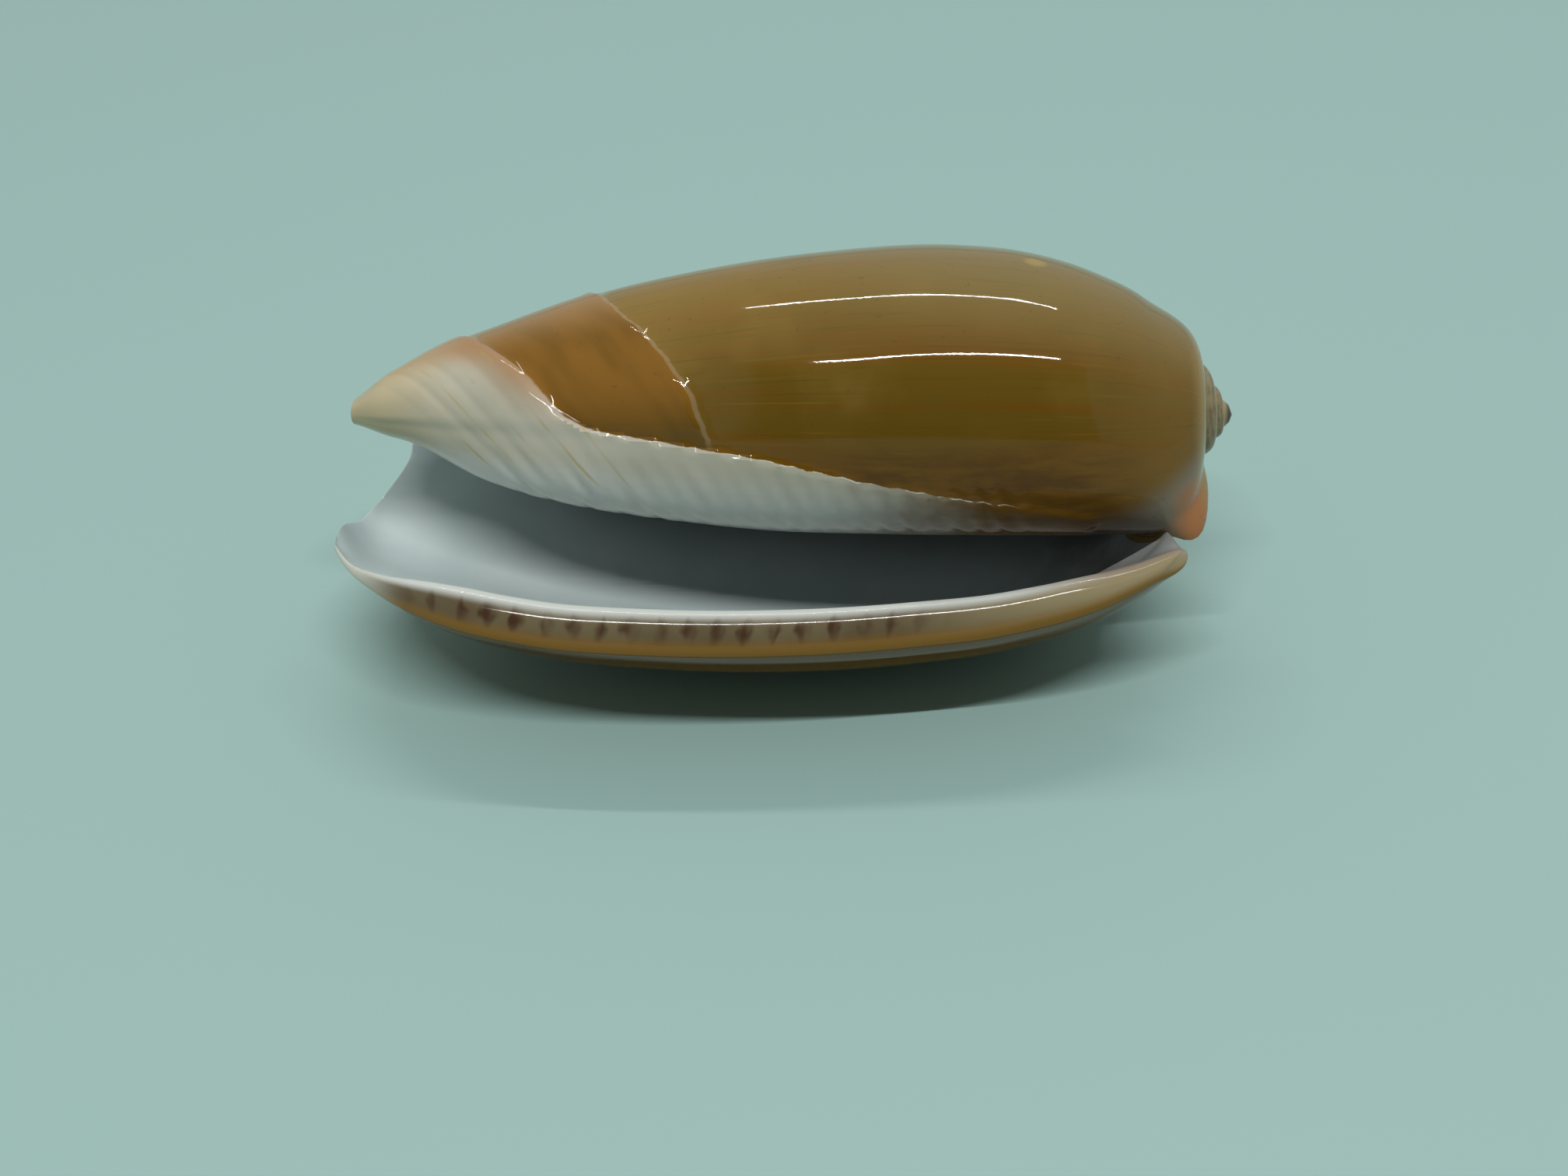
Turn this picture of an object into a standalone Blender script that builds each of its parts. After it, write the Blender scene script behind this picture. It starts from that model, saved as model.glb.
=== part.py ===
"""Olive shell, one closed coiled body lying with its aperture to the front.

The shell is described in its own coordinates: x runs along the axis from the front (anterior) end to
the apex, r is the distance from the axis, and turn is the angle in degrees wound back from the edge of
the outer lip. The outer whorl covers turns 0 to 360, and the whorl inside it follows on from 360.
"""
import math

import bmesh
import bpy
import numpy as np
from mathutils import Matrix, Vector

MM = 0.001

# Driving dimensions, in millimetres and degrees
LENGTH = 45.0
LIP_ANGLE = -25.0
REST_PITCH = -1.0
REST_FLAT = 0.14
WALL_AT_LIP = 2.45
WALL_INSIDE = 1.4
LIP_THICK_TO_TURN = 70.0
LIP_LEAD = 4.0
LIP_LEAD_TO_TURN = 40.0
LIP_LEAD_FADES = (36, 42)
CAVITY_TURN = 200.0
NOTCH_TURN = 16.0
ROOF_DROP = 1.5
ROOF_DROP_PER_DEGREE = 0.035
ROOF_ROUNDING = 4.0
LIP_END_THICKNESS = 0.3
FRONT_THINNING = [(20, 0.14), (80, 0.35)]
FRONT_THIN_LENGTH = 8.5
EDGE_SWELL = 0.55

# Radius of the outer whorl along the axis, as (x, r), on five lines from lip to inner lip
LIP_LINE = [(0, 6.9), (1, 7.95), (3, 9.3), (6.5, 10.95), (11, 12.15), (17, 12.8), (23, 12.9),
            (29, 12.5), (34, 11.7), (38.8, 10.0), (41.1, 8.55), (43, 6.8)]
BACK_LINE = [(0, 7.0), (1.7, 7.1), (4.5, 7.7), (10, 9.4), (17, 10.7), (24, 11.2), (30, 10.95),
             (35.2, 9.85), (38.1, 8.75), (40.9, 6.9), (43, 4.9)]
TOP_LINE = [(0.6, 0.7), (2.7, 1.7), (5, 2.95), (8.5, 4.3), (13, 5.82), (17.6, 6.92), (24.5, 8.0),
            (31.3, 8.35), (34.7, 8.0), (38.2, 6.95), (40.6, 5.7), (43, 3.3)]
FRONT_LINE = [(0.6, 0.7), (2, 1.6), (3.5, 2.2), (6.2, 3.1), (9.5, 3.95), (13.3, 4.75), (18.9, 6.05),
              (24.5, 7.15), (29, 7.7), (33, 7.55), (38.3, 6.65), (41, 5.3), (43, 3.4)]
COLUMELLA_LINE = [(0.6, 0.5), (3.75, 1.15), (7.8, 3.15), (11.8, 4.3), (16.7, 5.1), (22.2, 5.75),
                  (28, 5.95), (36, 6.0), (41.6, 6.0)]
INNER_BACK_LINE = [(0.6, 0.6), (3.5, 1.2), (8, 2.3), (15, 3.8), (22, 4.7), (30, 5.0), (36, 4.9),
                   (42, 4.3)]
INNER_TOP_LINE = [(0.6, 0.6), (3.5, 1.0), (8, 1.8), (15, 2.9), (22, 3.5), (30, 3.8), (36, 3.7),
                  (42, 3.1)]
LINE_TURNS = [24, 105, 215, 292, 384, 465, 575]

# Free front margin: x by turn, from the lip tip through the notch to the tip of the columella
FRONT_MARGIN = [(24, 0.0), (36, 0.0), (48, 0.08), (60, 0.2), (66, 0.3), (74, 0.52), (81, 0.82),
                (88, 1.2), (95, 1.7), (101, 2.1), (107, 2.3), (115, 2.5), (140, 2.85), (165, 2.7),
                (190, 2.1), (215, 1.35), (250, 1.0), (292, 0.9), (384, 0.9), (465, 1.0), (560, 1.6)]
FRONT_CURL = [(22, 0.0), (30, 0.65), (45, 1.05), (60, 0.95), (75, 0.8), (90, 0.35), (104, 0.0)]
FRONT_CURL_LENGTH = 0.9
LIP_TIP_TURN = 24.0
LIP_STRAIGHT_FROM = 7.0
LIP_FOLLOWED_TO_TURN = 90.0

# Rim beside the suture: radius by turn near the lip, then a steady shrink with each whorl
RIM_RADIUS = [(0, 7.95), (16, 7.0), (24, 6.75), (60, 5.4), (105, 4.15), (160, 3.4), (215, 3.0)]
RIM_DIP = [(0, 0.2), (8, 0.65), (16, 0.95), (28, 1.2), (50, 1.05), (80, 0.5), (130, 0.0)]
WHORL_RATIO = 1.72
RIM_HEIGHT = [(0.3, 44.95), (0.6, 44.7), (1.0, 44.37), (1.75, 43.9), (3.0, 43.25), (3.4, 43.3),
              (4.1, 43.2), (5.5, 42.85), (7.0, 42.6), (8.0, 42.5)]
CHANNEL_DEPTH = [(16, 0.2), (24, 0.35), (40, 0.5), (60, 0.45), (105, 0.28), (215, 0.22)]
CHANNEL_WIDTH = [(16, 0.95), (24, 0.85), (60, 0.45), (105, 0.3), (215, 0.25)]
SHOULDER_X = 40.5
CHANNEL_FLOOR_X = 41.45
SHOULDER_SINKS = (300, 376)
SHOULDER_FULLNESS = 0.4
RIM_LEAN = 0.15
SPIRE_SLOPE = -0.4
SPIRE_TURNS = 1240.0
COLUMELLA_TIP_X = 0.75
COLUMELLA_TIP_ROUND = 0.08
APEX_ROUND = -0.02

# Callus lobe beside the slot at the back of the aperture
LOBE_TURN = 377.0
LOBE_BEFORE = 18.0
LOBE_AFTER = 22.0
LOBE_FORWARD = 0.6
LOBE_OUTWARD = 0.95

# Raised lines on the outside, as (turn, x): the callus edge and the ledge of the front band
CALLUS_EDGE = [(150, 4.6), (200, 5.9), (226, 7.1), (254, 8.6), (271, 10.0), (293, 11.6), (306, 12.8),
               (312, 14.2), (316, 17.0), (320, 20.5), (327, 25.0), (335, 29.8), (342, 33.6), (352, 38.0)]
CALLUS_RISE = 0.30
CALLUS_THIN_RISE = 0.10
CALLUS_THINS = (14, 30)
CALLUS_STARTS = (150, 235)
LEDGE_LINE = [(0, 6.8), (60, 8.3), (105, 9.8), (160, 11.6), (221, 13.6), (245, 14.9), (261, 16.2),
              (278, 17.5), (290, 18.4), (317, 19.5)]
LEDGE_RISE = 0.16
LEDGE_HALF_WIDTH = 0.35
LEDGE_FADES = (305, 318)
PLAIT_SLOPE = 0.065
PLAIT_SPACING = 1.75
PLAIT_RISE = 0.10
PLAIT_TURN = 290.0
PLAITS_START = (235, 262)
PLAITS_FROM = 5.0
PLAITS_TO = 12.6
RELIEF_ENDS = (372, 388)
TIP_PLAIN = (0.8, 3.0)

# Mesh fineness
TURN_STEP = 8.0
ROWS = 33
ROW_CROWDING = 0.6
SHOULDER_ROWS = 5
EDGE_STEPS = 3


def through(points, x):
    """Smooth curve through a few (x, y) points, as cubic spans with finite-difference slopes."""
    px = np.array([p[0] for p in points], dtype=float)
    py = np.array([p[1] for p in points], dtype=float)
    return hermite(px, py[:, None], np.atleast_1d(np.asarray(x, dtype=float)))


def hermite(px, py, x):
    """Cubic through the columns of py at px, read at each x; py has one column, or one for each x."""
    step = np.diff(px)
    rise = np.diff(py, axis=0) / step[:, None]
    slope = np.empty_like(py)
    slope[0] = rise[0]
    slope[-1] = rise[-1]
    weight = step[:-1, None] / (step[:-1, None] + step[1:, None])
    slope[1:-1] = rise[:-1] * (1 - weight) + rise[1:] * weight
    span = np.clip(np.searchsorted(px, x, side="right") - 1, 0, len(px) - 2)
    column = np.zeros(len(x), dtype=int)
    if py.shape[1] > 1:
        column = np.arange(len(x))
    h = step[span]
    s = (x - px[span]) / h
    inside = np.clip(s, 0.0, 1.0)
    y0, y1 = py[span, column], py[span + 1, column]
    m0, m1 = slope[span, column] * h, slope[span + 1, column] * h
    value = ((2 * inside**3 - 3 * inside**2 + 1) * y0 + (inside**3 - 2 * inside**2 + inside) * m0
             + (3 * inside**2 - 2 * inside**3) * y1 + (inside**3 - inside**2) * m1)
    return value + np.where(s < 0, s * m0, 0) + np.where(s > 1, (s - 1) * m1, 0)


def smoothstep(low, high, x):
    s = np.clip((np.asarray(x, dtype=float) - low) / (high - low), 0.0, 1.0)
    return s * s * (3 - 2 * s)


def outer_radius(x, turn):
    """Radius of the coiled surface at x and turn; the log of the radius is smooth along the coil."""
    x = np.atleast_1d(np.asarray(x, dtype=float))
    turn = np.atleast_1d(np.asarray(turn, dtype=float))
    x, turn = np.broadcast_arrays(x, turn)
    lines = [LIP_LINE, BACK_LINE, TOP_LINE, FRONT_LINE, COLUMELLA_LINE, INNER_BACK_LINE, INNER_TOP_LINE]
    logs = np.array([np.log(np.maximum(through(line, x.ravel()), 0.3)) for line in lines])
    value = np.exp(hermite(np.array(LINE_TURNS, dtype=float), logs, turn.ravel())).reshape(x.shape)
    from_margin = np.maximum(x - held(FRONT_MARGIN, turn.ravel()).reshape(x.shape), 0.0)
    curl = held(FRONT_CURL, turn.ravel()).reshape(x.shape)
    return value - curl * np.exp(-from_margin / FRONT_CURL_LENGTH)


def held(points, x):
    """Smooth curve through the points, held level beyond its two ends."""
    return through(points, np.clip(x, points[0][0], points[-1][0]))


def relief(x, turn):
    """Height of the callus, its slanting plaits and the front band's ledge over the plain coil."""
    edge = held(CALLUS_EDGE, turn)
    rise = CALLUS_RISE + (CALLUS_THIN_RISE - CALLUS_RISE) * smoothstep(*CALLUS_THINS, x)
    inside_callus = 1.0 - smoothstep(edge - 0.7, edge + 0.3, x)
    callus = rise * inside_callus * smoothstep(*CALLUS_STARTS, turn)
    slant = x - PLAIT_SLOPE * (turn - PLAIT_TURN)
    on_plaits = smoothstep(PLAITS_FROM - 0.6, PLAITS_FROM, slant)
    on_plaits = on_plaits * (1.0 - smoothstep(PLAITS_TO - 1.0, PLAITS_TO, slant))
    wave = np.cos(2 * math.pi * (slant - PLAITS_FROM) / PLAIT_SPACING)
    plaits = PLAIT_RISE * wave * on_plaits * inside_callus * smoothstep(*PLAITS_START, turn)
    ledge = held(LEDGE_LINE, turn)
    band = LEDGE_RISE * (1.0 - smoothstep(ledge - LEDGE_HALF_WIDTH, ledge + LEDGE_HALF_WIDTH, x))
    band = band * (1.0 - smoothstep(*LEDGE_FADES, turn))
    shown = 1.0 - smoothstep(*RELIEF_ENDS, turn)
    return (callus + plaits + band) * shown * smoothstep(*TIP_PLAIN, x)


def side_radius(x, turn):
    """Radius of the visible outside of the coil."""
    return outer_radius(x, turn) + relief(x, turn)


def side_slope(x, turn):
    """Change of the coil's radius per millimetre along the axis, just before x."""
    back = 0.3
    return float((outer_radius(x, turn) - outer_radius(x - back, turn))[0]) / back


def rim(turn):
    """Place (x, r) of the rim beside the suture."""
    turn = np.atleast_1d(np.asarray(turn, dtype=float))
    last_turn, last_radius = RIM_RADIUS[-1]
    shrink = WHORL_RATIO ** (-(turn - last_turn) / 360.0)
    radius = np.where(turn < last_turn, held(RIM_RADIUS, turn), last_radius * shrink)
    return through(RIM_HEIGHT, radius) - held(RIM_DIP, turn), radius


def channel_floor(turn):
    """Place (x, r) of the bottom of the suture channel just inside the rim."""
    x, radius = rim(turn)
    small = np.minimum(1.0, radius / RIM_RADIUS[-1][1])
    return x - held(CHANNEL_DEPTH, turn) * small, radius - held(CHANNEL_WIDTH, turn) * small


def roof_x(turn):
    """Height of the cavity's roof, under the channel floor."""
    floor_x = channel_floor(turn)[0]
    return floor_x - np.clip(ROOF_DROP_PER_DEGREE * (np.asarray(turn) - NOTCH_TURN), 0.0, ROOF_DROP)


def lip_recess(x):
    """Turn by which the lip's edge falls back near the front tip."""
    s = np.clip(1.0 - np.asarray(x) / LIP_STRAIGHT_FROM, 0.0, 1.0)
    return LIP_TIP_TURN * (1.0 - np.sqrt(1.0 - s * s))


def row_share(rows):
    """Row places from 0 to 1, closer together towards both ends."""
    t = np.linspace(0.0, 1.0, rows + 1)
    return t - ROW_CROWDING * np.sin(2 * math.pi * t) / (2 * math.pi)


def column(base_turn, start_x, end_x, rows):
    """Places (x, turn) down one column of the coiled surface."""
    x = start_x + (end_x - start_x) * row_share(rows)
    keep = np.clip(1.0 - base_turn / LIP_FOLLOWED_TO_TURN, 0.0, 1.0) ** 2
    return x, base_turn + lip_recess(x) * keep


def front_x(base_turn):
    """Front end of a column, on the free margin or on the tip of the columella."""
    return float(held(FRONT_MARGIN, np.atleast_1d(max(base_turn, LIP_TIP_TURN)))[0])


def wall_thickness(x, turn):
    """Thickness of the outer wall: greatest at the lip's middle, thinner towards both its ends."""
    thick = WALL_INSIDE + (WALL_AT_LIP - WALL_INSIDE) * (1.0 - smoothstep(0, LIP_THICK_TO_TURN, turn))
    at_front = held(FRONT_THINNING, turn)
    thick = thick * (at_front + (1.0 - at_front) * smoothstep(0, FRONT_THIN_LENGTH, x))
    thick = thick * (1.0 - 0.45 * smoothstep(37, 42.5, x))
    room = outer_radius(x, turn) - outer_radius(x, turn + 360)
    return 0.5 * room * np.tanh(2 * thick / room)


def inner_radius(x, turn, end_x):
    """Radius of the cavity's outer wall; it closes onto the inner whorl under the roof, and at the lip
    onto the thin back end of the lip.
    """
    core = outer_radius(x, turn + 360)
    lip_end = rim(turn)[1] - LIP_END_THICKNESS
    end_radius = lip_end + (core - lip_end) * smoothstep(0, NOTCH_TURN, turn)
    open_radius = outer_radius(x, turn) - wall_thickness(x, turn)
    near_roof = np.clip((x - end_x) / ROOF_ROUNDING + 1.0, 0.0, 1.0)
    closing = 1.0 - np.sqrt(1.0 - near_roof**2)
    return open_radius + (end_radius - open_radius) * closing


def lobe(turn, s):
    """Outward shift (x, r) of the callus lobe beside the notch, for s from 0 to 1 up the shoulder."""
    width = LOBE_BEFORE if turn < LOBE_TURN else LOBE_AFTER
    across = math.cos(min(abs(turn - LOBE_TURN) / width, 1.0) * math.pi / 2) ** 2
    forward = np.sin(np.clip(s, 0, 1) * math.pi)
    outward = np.sin(np.clip(s * 1.45, 0, 1) * math.pi)
    return LOBE_FORWARD * across * forward, LOBE_OUTWARD * across * outward


def shoulder(turn, start_x, start_r, slope, rows):
    """Places (x, r) from the whorl's side over its shoulder to the rim, along one smooth curve."""
    rim_x, rim_r = (float(v[0]) for v in rim(turn))
    reach = math.hypot(rim_x - start_x, rim_r - start_r) * SHOULDER_FULLNESS
    run = math.hypot(1.0, slope)
    p1 = (start_x + reach / run, start_r + reach * slope / run)
    p2 = (rim_x - reach * RIM_LEAN, rim_r + reach)
    s = np.linspace(0, 1, rows + 1)
    b0, b1, b2, b3 = (1 - s)**3, 3 * s * (1 - s)**2, 3 * s * s * (1 - s), s**3
    x = b0 * start_x + b1 * p1[0] + b2 * p2[0] + b3 * rim_x
    r = b0 * start_r + b1 * p1[1] + b2 * p2[1] + b3 * rim_r
    shift_x, shift_r = lobe(turn, s)
    return x + shift_x, r + shift_r


def place(x, r, turn):
    """Point in the shell's own axes: y is negative towards the front."""
    angle = math.radians(LIP_ANGLE - turn)
    return Vector((x, -r * math.cos(angle), r * math.sin(angle)))


class Surface:
    """Vertices and faces of the shell while it is put together."""

    def __init__(self):
        self.points = []
        self.faces = []

    def add(self, point):
        self.points.append(Vector(point))
        return len(self.points) - 1

    def face(self, *corners):
        ring = [c for i, c in enumerate(corners) if c != corners[i - 1]]
        if len(set(ring)) >= 3:
            self.faces.append(ring)

    def strip(self, left, right):
        for i in range(len(left) - 1):
            self.face(left[i], left[i + 1], right[i + 1], right[i])


def build_surface():
    """The whole shell as one closed surface: outer coil, cavity, free edges, spire and both tips."""
    s = Surface()
    per_turn = round(360 / TURN_STEP)
    cavity_end = round(CAVITY_TURN / TURN_STEP)
    notch = round(NOTCH_TURN / TURN_STEP)
    last = round(SPIRE_TURNS / TURN_STEP)
    coil_end = per_turn + cavity_end

    # Side of the coil, then its shoulder, then the spire whorls that start on the channel floor
    side = []
    upper = []
    floors = []
    for j in range(last + 1):
        turn = j * TURN_STEP
        floor_x, floor_r = (float(v[0]) for v in channel_floor(turn))
        if j <= coil_end:
            if j <= per_turn + notch:
                sunk = float(smoothstep(*SHOULDER_SINKS, turn))
                end_x = SHOULDER_X + (CHANNEL_FLOOR_X - SHOULDER_X) * sunk
            else:
                end_x = float(roof_x(turn - 360)[0])
            x, turns = column(turn, front_x(turn), end_x, ROWS)
            r = side_radius(x, turns)
            ids = [s.add(place(*v)) for v in zip(x[:-1], r[:-1], turns[:-1])]
            if j == per_turn + notch:
                ids.append(floors[notch])
            else:
                ids.append(s.add(place(x[-1], r[-1], turns[-1])))
            side.append(ids)
        if j <= per_turn + notch:
            start = (x[-1], r[-1])
            slope = side_slope(x[-1], turn)
            first = side[j][-1]
        if j >= per_turn + notch:
            start = tuple(float(v[0]) for v in channel_floor(turn - 360))
            slope = SPIRE_SLOPE
            first = floors[j - per_turn]
        px, pr = shoulder(turn, start[0], start[1], slope, SHOULDER_ROWS)
        upper.append([first] + [s.add(place(a, b, turn)) for a, b in zip(px[1:], pr[1:])])
        floors.append(s.add(place(floor_x, floor_r, turn)) if j >= notch else None)

    for j in range(coil_end):
        s.strip(side[j], side[j + 1])
    for j in range(last):
        s.strip(upper[j], upper[j + 1])

    # Inside of the outer wall, from the lip to the end of the cavity
    wall = []
    for j in range(cavity_end + 1):
        turn = j * TURN_STEP
        end_x = float(roof_x(turn)[0])
        if j < notch:
            lip_end_x = float(rim(turn)[0][0]) - LIP_END_THICKNESS / 2
            end_x = lip_end_x + (float(channel_floor(turn)[0][0]) - lip_end_x) * j / notch
        x, turns = column(turn, front_x(turn), end_x, ROWS)
        lead = LIP_LEAD * max(0.0, 1.0 - turn / LIP_LEAD_TO_TURN) ** 2
        turns = turns - lead * smoothstep(0, 5, x) * (1 - smoothstep(*LIP_LEAD_FADES, x))
        r = inner_radius(x, turns, end_x)
        top = s.add(place(x[-1], r[-1], turns[-1])) if j < notch else side[j + per_turn][-1]
        wall.append([s.add(place(*v)) for v in zip(x[:-1], r[:-1], turns[:-1])] + [top])
    for j in range(cavity_end):
        s.strip(wall[j + 1], wall[j])

    # Round turn at the end of the cavity
    turn = CAVITY_TURN
    x, turns = column(turn, front_x(turn), float(roof_x(turn)[0]), ROWS)
    low = outer_radius(x, turns + 360)
    high = inner_radius(x, turns, x[-1])
    bend = [side[coil_end]]
    for step in range(1, EDGE_STEPS):
        a = math.pi * step / EDGE_STEPS
        r = (low + high) / 2 - (high - low) / 2 * math.cos(a)
        ahead = np.degrees((high - low) / 2 * math.sin(a) / r)
        ids = [s.add(place(*v)) for v in zip(x[:-1], r[:-1], (turns + ahead)[:-1])]
        bend.append(ids + [side[coil_end][-1]])
    bend.append(wall[cavity_end])
    for near, far in zip(bend, bend[1:]):
        s.strip(near, far)

    # Rounded free edge, along the rim of the spire, down the lip and round the front notch
    pairs = []
    for j in range(last, -1, -1):
        inner = floors[j] if j >= notch else wall[j][-1]
        pairs.append((upper[j][-1], inner, upper[j][-2]))
    for k in range(SHOULDER_ROWS - 1, 0, -1):
        pairs.append((upper[0][k], wall[0][-1], upper[1][k]))
    for k in range(ROWS, -1, -1):
        pairs.append((side[0][k], wall[0][k], side[1][k]))
    for j in range(1, cavity_end + 1):
        pairs.append((side[j][0], wall[j][0], side[j][1]))
    edges = []
    for outer, inner, behind in pairs:
        o, i = s.points[outer], s.points[inner]
        ahead = (o - s.points[behind]).normalized()
        middle, half = (o + i) / 2, (o - i) / 2
        swell = EDGE_SWELL * half.length
        ring = [outer]
        for step in range(1, EDGE_STEPS):
            a = math.pi * step / EDGE_STEPS
            ring.append(s.add(middle + half * math.cos(a) + ahead * swell * math.sin(a)))
        edges.append(ring + [inner])
    for near, far in zip(edges, edges[1:]):
        s.strip(near, far)

    # Tip of the columella and tip of the spire
    tip = [side[j][0] for j in range(cavity_end, coil_end)] + [ids[0] for ids in bend]
    tip += edges[-1][-2:0:-1]
    cap(s, tip, place(COLUMELLA_TIP_X, 0.0, 0.0), COLUMELLA_TIP_ROUND)
    apex = upper[last] + edges[0][1:-1] + [floors[j] for j in range(last, last - per_turn, -1)]
    cap(s, apex, place(LENGTH, 0.0, 0.0), APEX_ROUND)
    return s


def cap(s, ring, centre, lift):
    """Close a ring of vertices on a centre point, with one round step halfway in between."""
    middle = s.add(centre)
    inner = []
    for corner in ring:
        point = s.points[corner].lerp(centre, 0.45)
        point.x = (point.x + centre.x) / 2 + lift
        inner.append(s.add(point))
    s.strip(ring + ring[:1], inner + inner[:1])
    for i, corner in enumerate(inner):
        s.face(inner[i - 1], corner, middle)


def rest_on_surface(points):
    """Turn the shell to its resting tilt, set it on z = 0 with a small flat, and centre it."""
    tilt = Matrix.Rotation(-math.radians(REST_PITCH), 3, "Y")
    points = [tilt @ p for p in points]
    low = [min(p[k] for p in points) for k in range(3)]
    high = [max(p[k] for p in points) for k in range(3)]
    move = Vector(((low[0] + high[0]) / 2, (low[1] + high[1]) / 2, low[2] + REST_FLAT))
    points = [p - move for p in points]
    return [Vector((p.x, p.y, max(p.z, 0.0))) for p in points]


def shell_material():
    """Glossy olive-brown porcelain of the outer surface."""
    material = bpy.data.materials.new("olive_brown_gloss")
    material.use_nodes = True
    shader = material.node_tree.nodes["Principled BSDF"]
    shader.inputs["Base Color"].default_value = (0.24, 0.12, 0.022, 1.0)
    shader.inputs["Roughness"].default_value = 0.16
    shader.inputs["Metallic"].default_value = 0.0
    return material


def main():
    for old in list(bpy.data.objects):
        bpy.data.objects.remove(old, do_unlink=True)
    collection = bpy.data.collections.new("olive_shell")
    bpy.context.scene.collection.children.link(collection)

    surface = build_surface()
    points = rest_on_surface(surface.points)
    mesh = bpy.data.meshes.new("shell")
    mesh.from_pydata([p * MM for p in points], [], surface.faces)
    body = bmesh.new()
    body.from_mesh(mesh)
    bmesh.ops.triangulate(body, faces=body.faces[:], quad_method="SHORT_EDGE")
    bmesh.ops.recalc_face_normals(body, faces=body.faces[:])
    body.to_mesh(mesh)
    body.free()
    mesh.shade_smooth()
    shell = bpy.data.objects.new("shell", mesh)
    shell.data.materials.append(shell_material())
    collection.objects.link(shell)


main()
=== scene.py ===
"""Looks of the olive shell: its fine surface, its procedural finish, and a plain soft-lit stage.

The shell is described in its own coordinates: x runs along the axis from the front (anterior) end to
the apex, r is the distance from the axis, and turn is the angle in degrees wound back from the edge of
the outer lip. Lengths are in millimetres until the mesh is made.
"""

import math

import bpy
import numpy as np
from mathutils import Matrix, Vector


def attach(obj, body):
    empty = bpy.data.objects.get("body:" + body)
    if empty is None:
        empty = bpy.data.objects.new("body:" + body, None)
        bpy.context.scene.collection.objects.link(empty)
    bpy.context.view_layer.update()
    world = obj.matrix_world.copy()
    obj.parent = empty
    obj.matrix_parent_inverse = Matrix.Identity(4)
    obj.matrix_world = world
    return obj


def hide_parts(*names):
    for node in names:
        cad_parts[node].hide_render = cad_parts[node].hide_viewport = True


MM = 0.001

# Driving dimensions, in millimetres and degrees
LENGTH = 45.0
LIP_ANGLE = -25.0
REST_PITCH = -1.0
REST_FLAT = 0.14
REST_SOFTNESS = 0.09
WALL_AT_LIP = 2.45
WALL_INSIDE = 1.4
LIP_THICK_TO_TURN = 70.0
LIP_LEAD = 4.0
LIP_LEAD_TO_TURN = 40.0
LIP_LEAD_FADES = (36, 42)
CAVITY_TURN = 200.0
NOTCH_TURN = 16.0
ROOF_DROP = 1.5
ROOF_DROP_PER_DEGREE = 0.035
ROOF_ROUNDING = 4.0
LIP_END_THICKNESS = 0.3
FRONT_THINNING = [(20, 0.14), (80, 0.35)]
FRONT_THIN_LENGTH = 8.5
BACK_THINNING = 0.45
BACK_THINS = (37, 42.5)
EDGE_SWELL = 0.55

# Radius of the outer whorl along the axis, as (x, r), on lines from the lip to the inner whorl
LIP_LINE = [(0, 6.9), (1, 7.95), (3, 9.3), (6.5, 10.95), (11, 12.15), (17, 12.8), (23, 12.9),
            (29, 12.5), (34, 11.7), (38.8, 10.0), (41.1, 8.55), (43, 6.8)]
BACK_LINE = [(0, 7.0), (1.7, 7.1), (4.5, 7.7), (10, 9.4), (17, 10.7), (24, 11.2), (30, 10.95),
             (35.2, 9.85), (38.1, 8.75), (40.9, 6.9), (43, 4.9)]
TOP_LINE = [(0.6, 0.7), (2.7, 1.7), (5, 2.95), (8.5, 4.3), (13, 5.82), (17.6, 6.92), (24.5, 8.0),
            (31.3, 8.35), (34.7, 8.0), (38.2, 6.95), (40.6, 5.7), (43, 3.3)]
FRONT_LINE = [(0.6, 0.7), (2, 1.6), (3.5, 2.2), (6.2, 3.1), (9.5, 3.95), (13.3, 4.75), (18.9, 6.05),
              (24.5, 7.15), (29, 7.7), (33, 7.55), (38.3, 6.65), (41, 5.3), (43, 3.4)]
COLUMELLA_LINE = [(0.6, 0.5), (3.75, 1.15), (7.8, 3.15), (11.8, 4.3), (16.7, 5.1), (22.2, 5.75),
                  (28, 5.95), (36, 6.0), (41.6, 6.0)]
INNER_BACK_LINE = [(0.6, 0.6), (3.5, 1.2), (8, 2.3), (15, 3.8), (22, 4.7), (30, 5.0), (36, 4.9),
                   (42, 4.3)]
INNER_TOP_LINE = [(0.6, 0.6), (3.5, 1.0), (8, 1.8), (15, 2.9), (22, 3.5), (30, 3.8), (36, 3.7),
                  (42, 3.1)]
LINE_TURNS = [24, 105, 215, 292, 384, 465, 575]

# Free front margin: x by turn, from the lip tip through the notch to the tip of the columella
FRONT_MARGIN = [(24, 0.0), (36, 0.0), (48, 0.08), (60, 0.2), (66, 0.3), (74, 0.52), (81, 0.82),
                (88, 1.2), (95, 1.7), (101, 2.1), (107, 2.3), (115, 2.5), (140, 2.85), (165, 2.7),
                (190, 2.1), (215, 1.35), (250, 1.0), (292, 0.9), (384, 0.9), (465, 1.0), (560, 1.6)]
FRONT_CURL = [(22, 0.0), (30, 0.65), (45, 1.05), (60, 0.95), (75, 0.8), (90, 0.35), (104, 0.0)]
FRONT_CURL_LENGTH = 0.9
LIP_TIP_TURN = 24.0
LIP_STRAIGHT_FROM = 7.0
LIP_FOLLOWED_TO_TURN = 90.0

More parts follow.
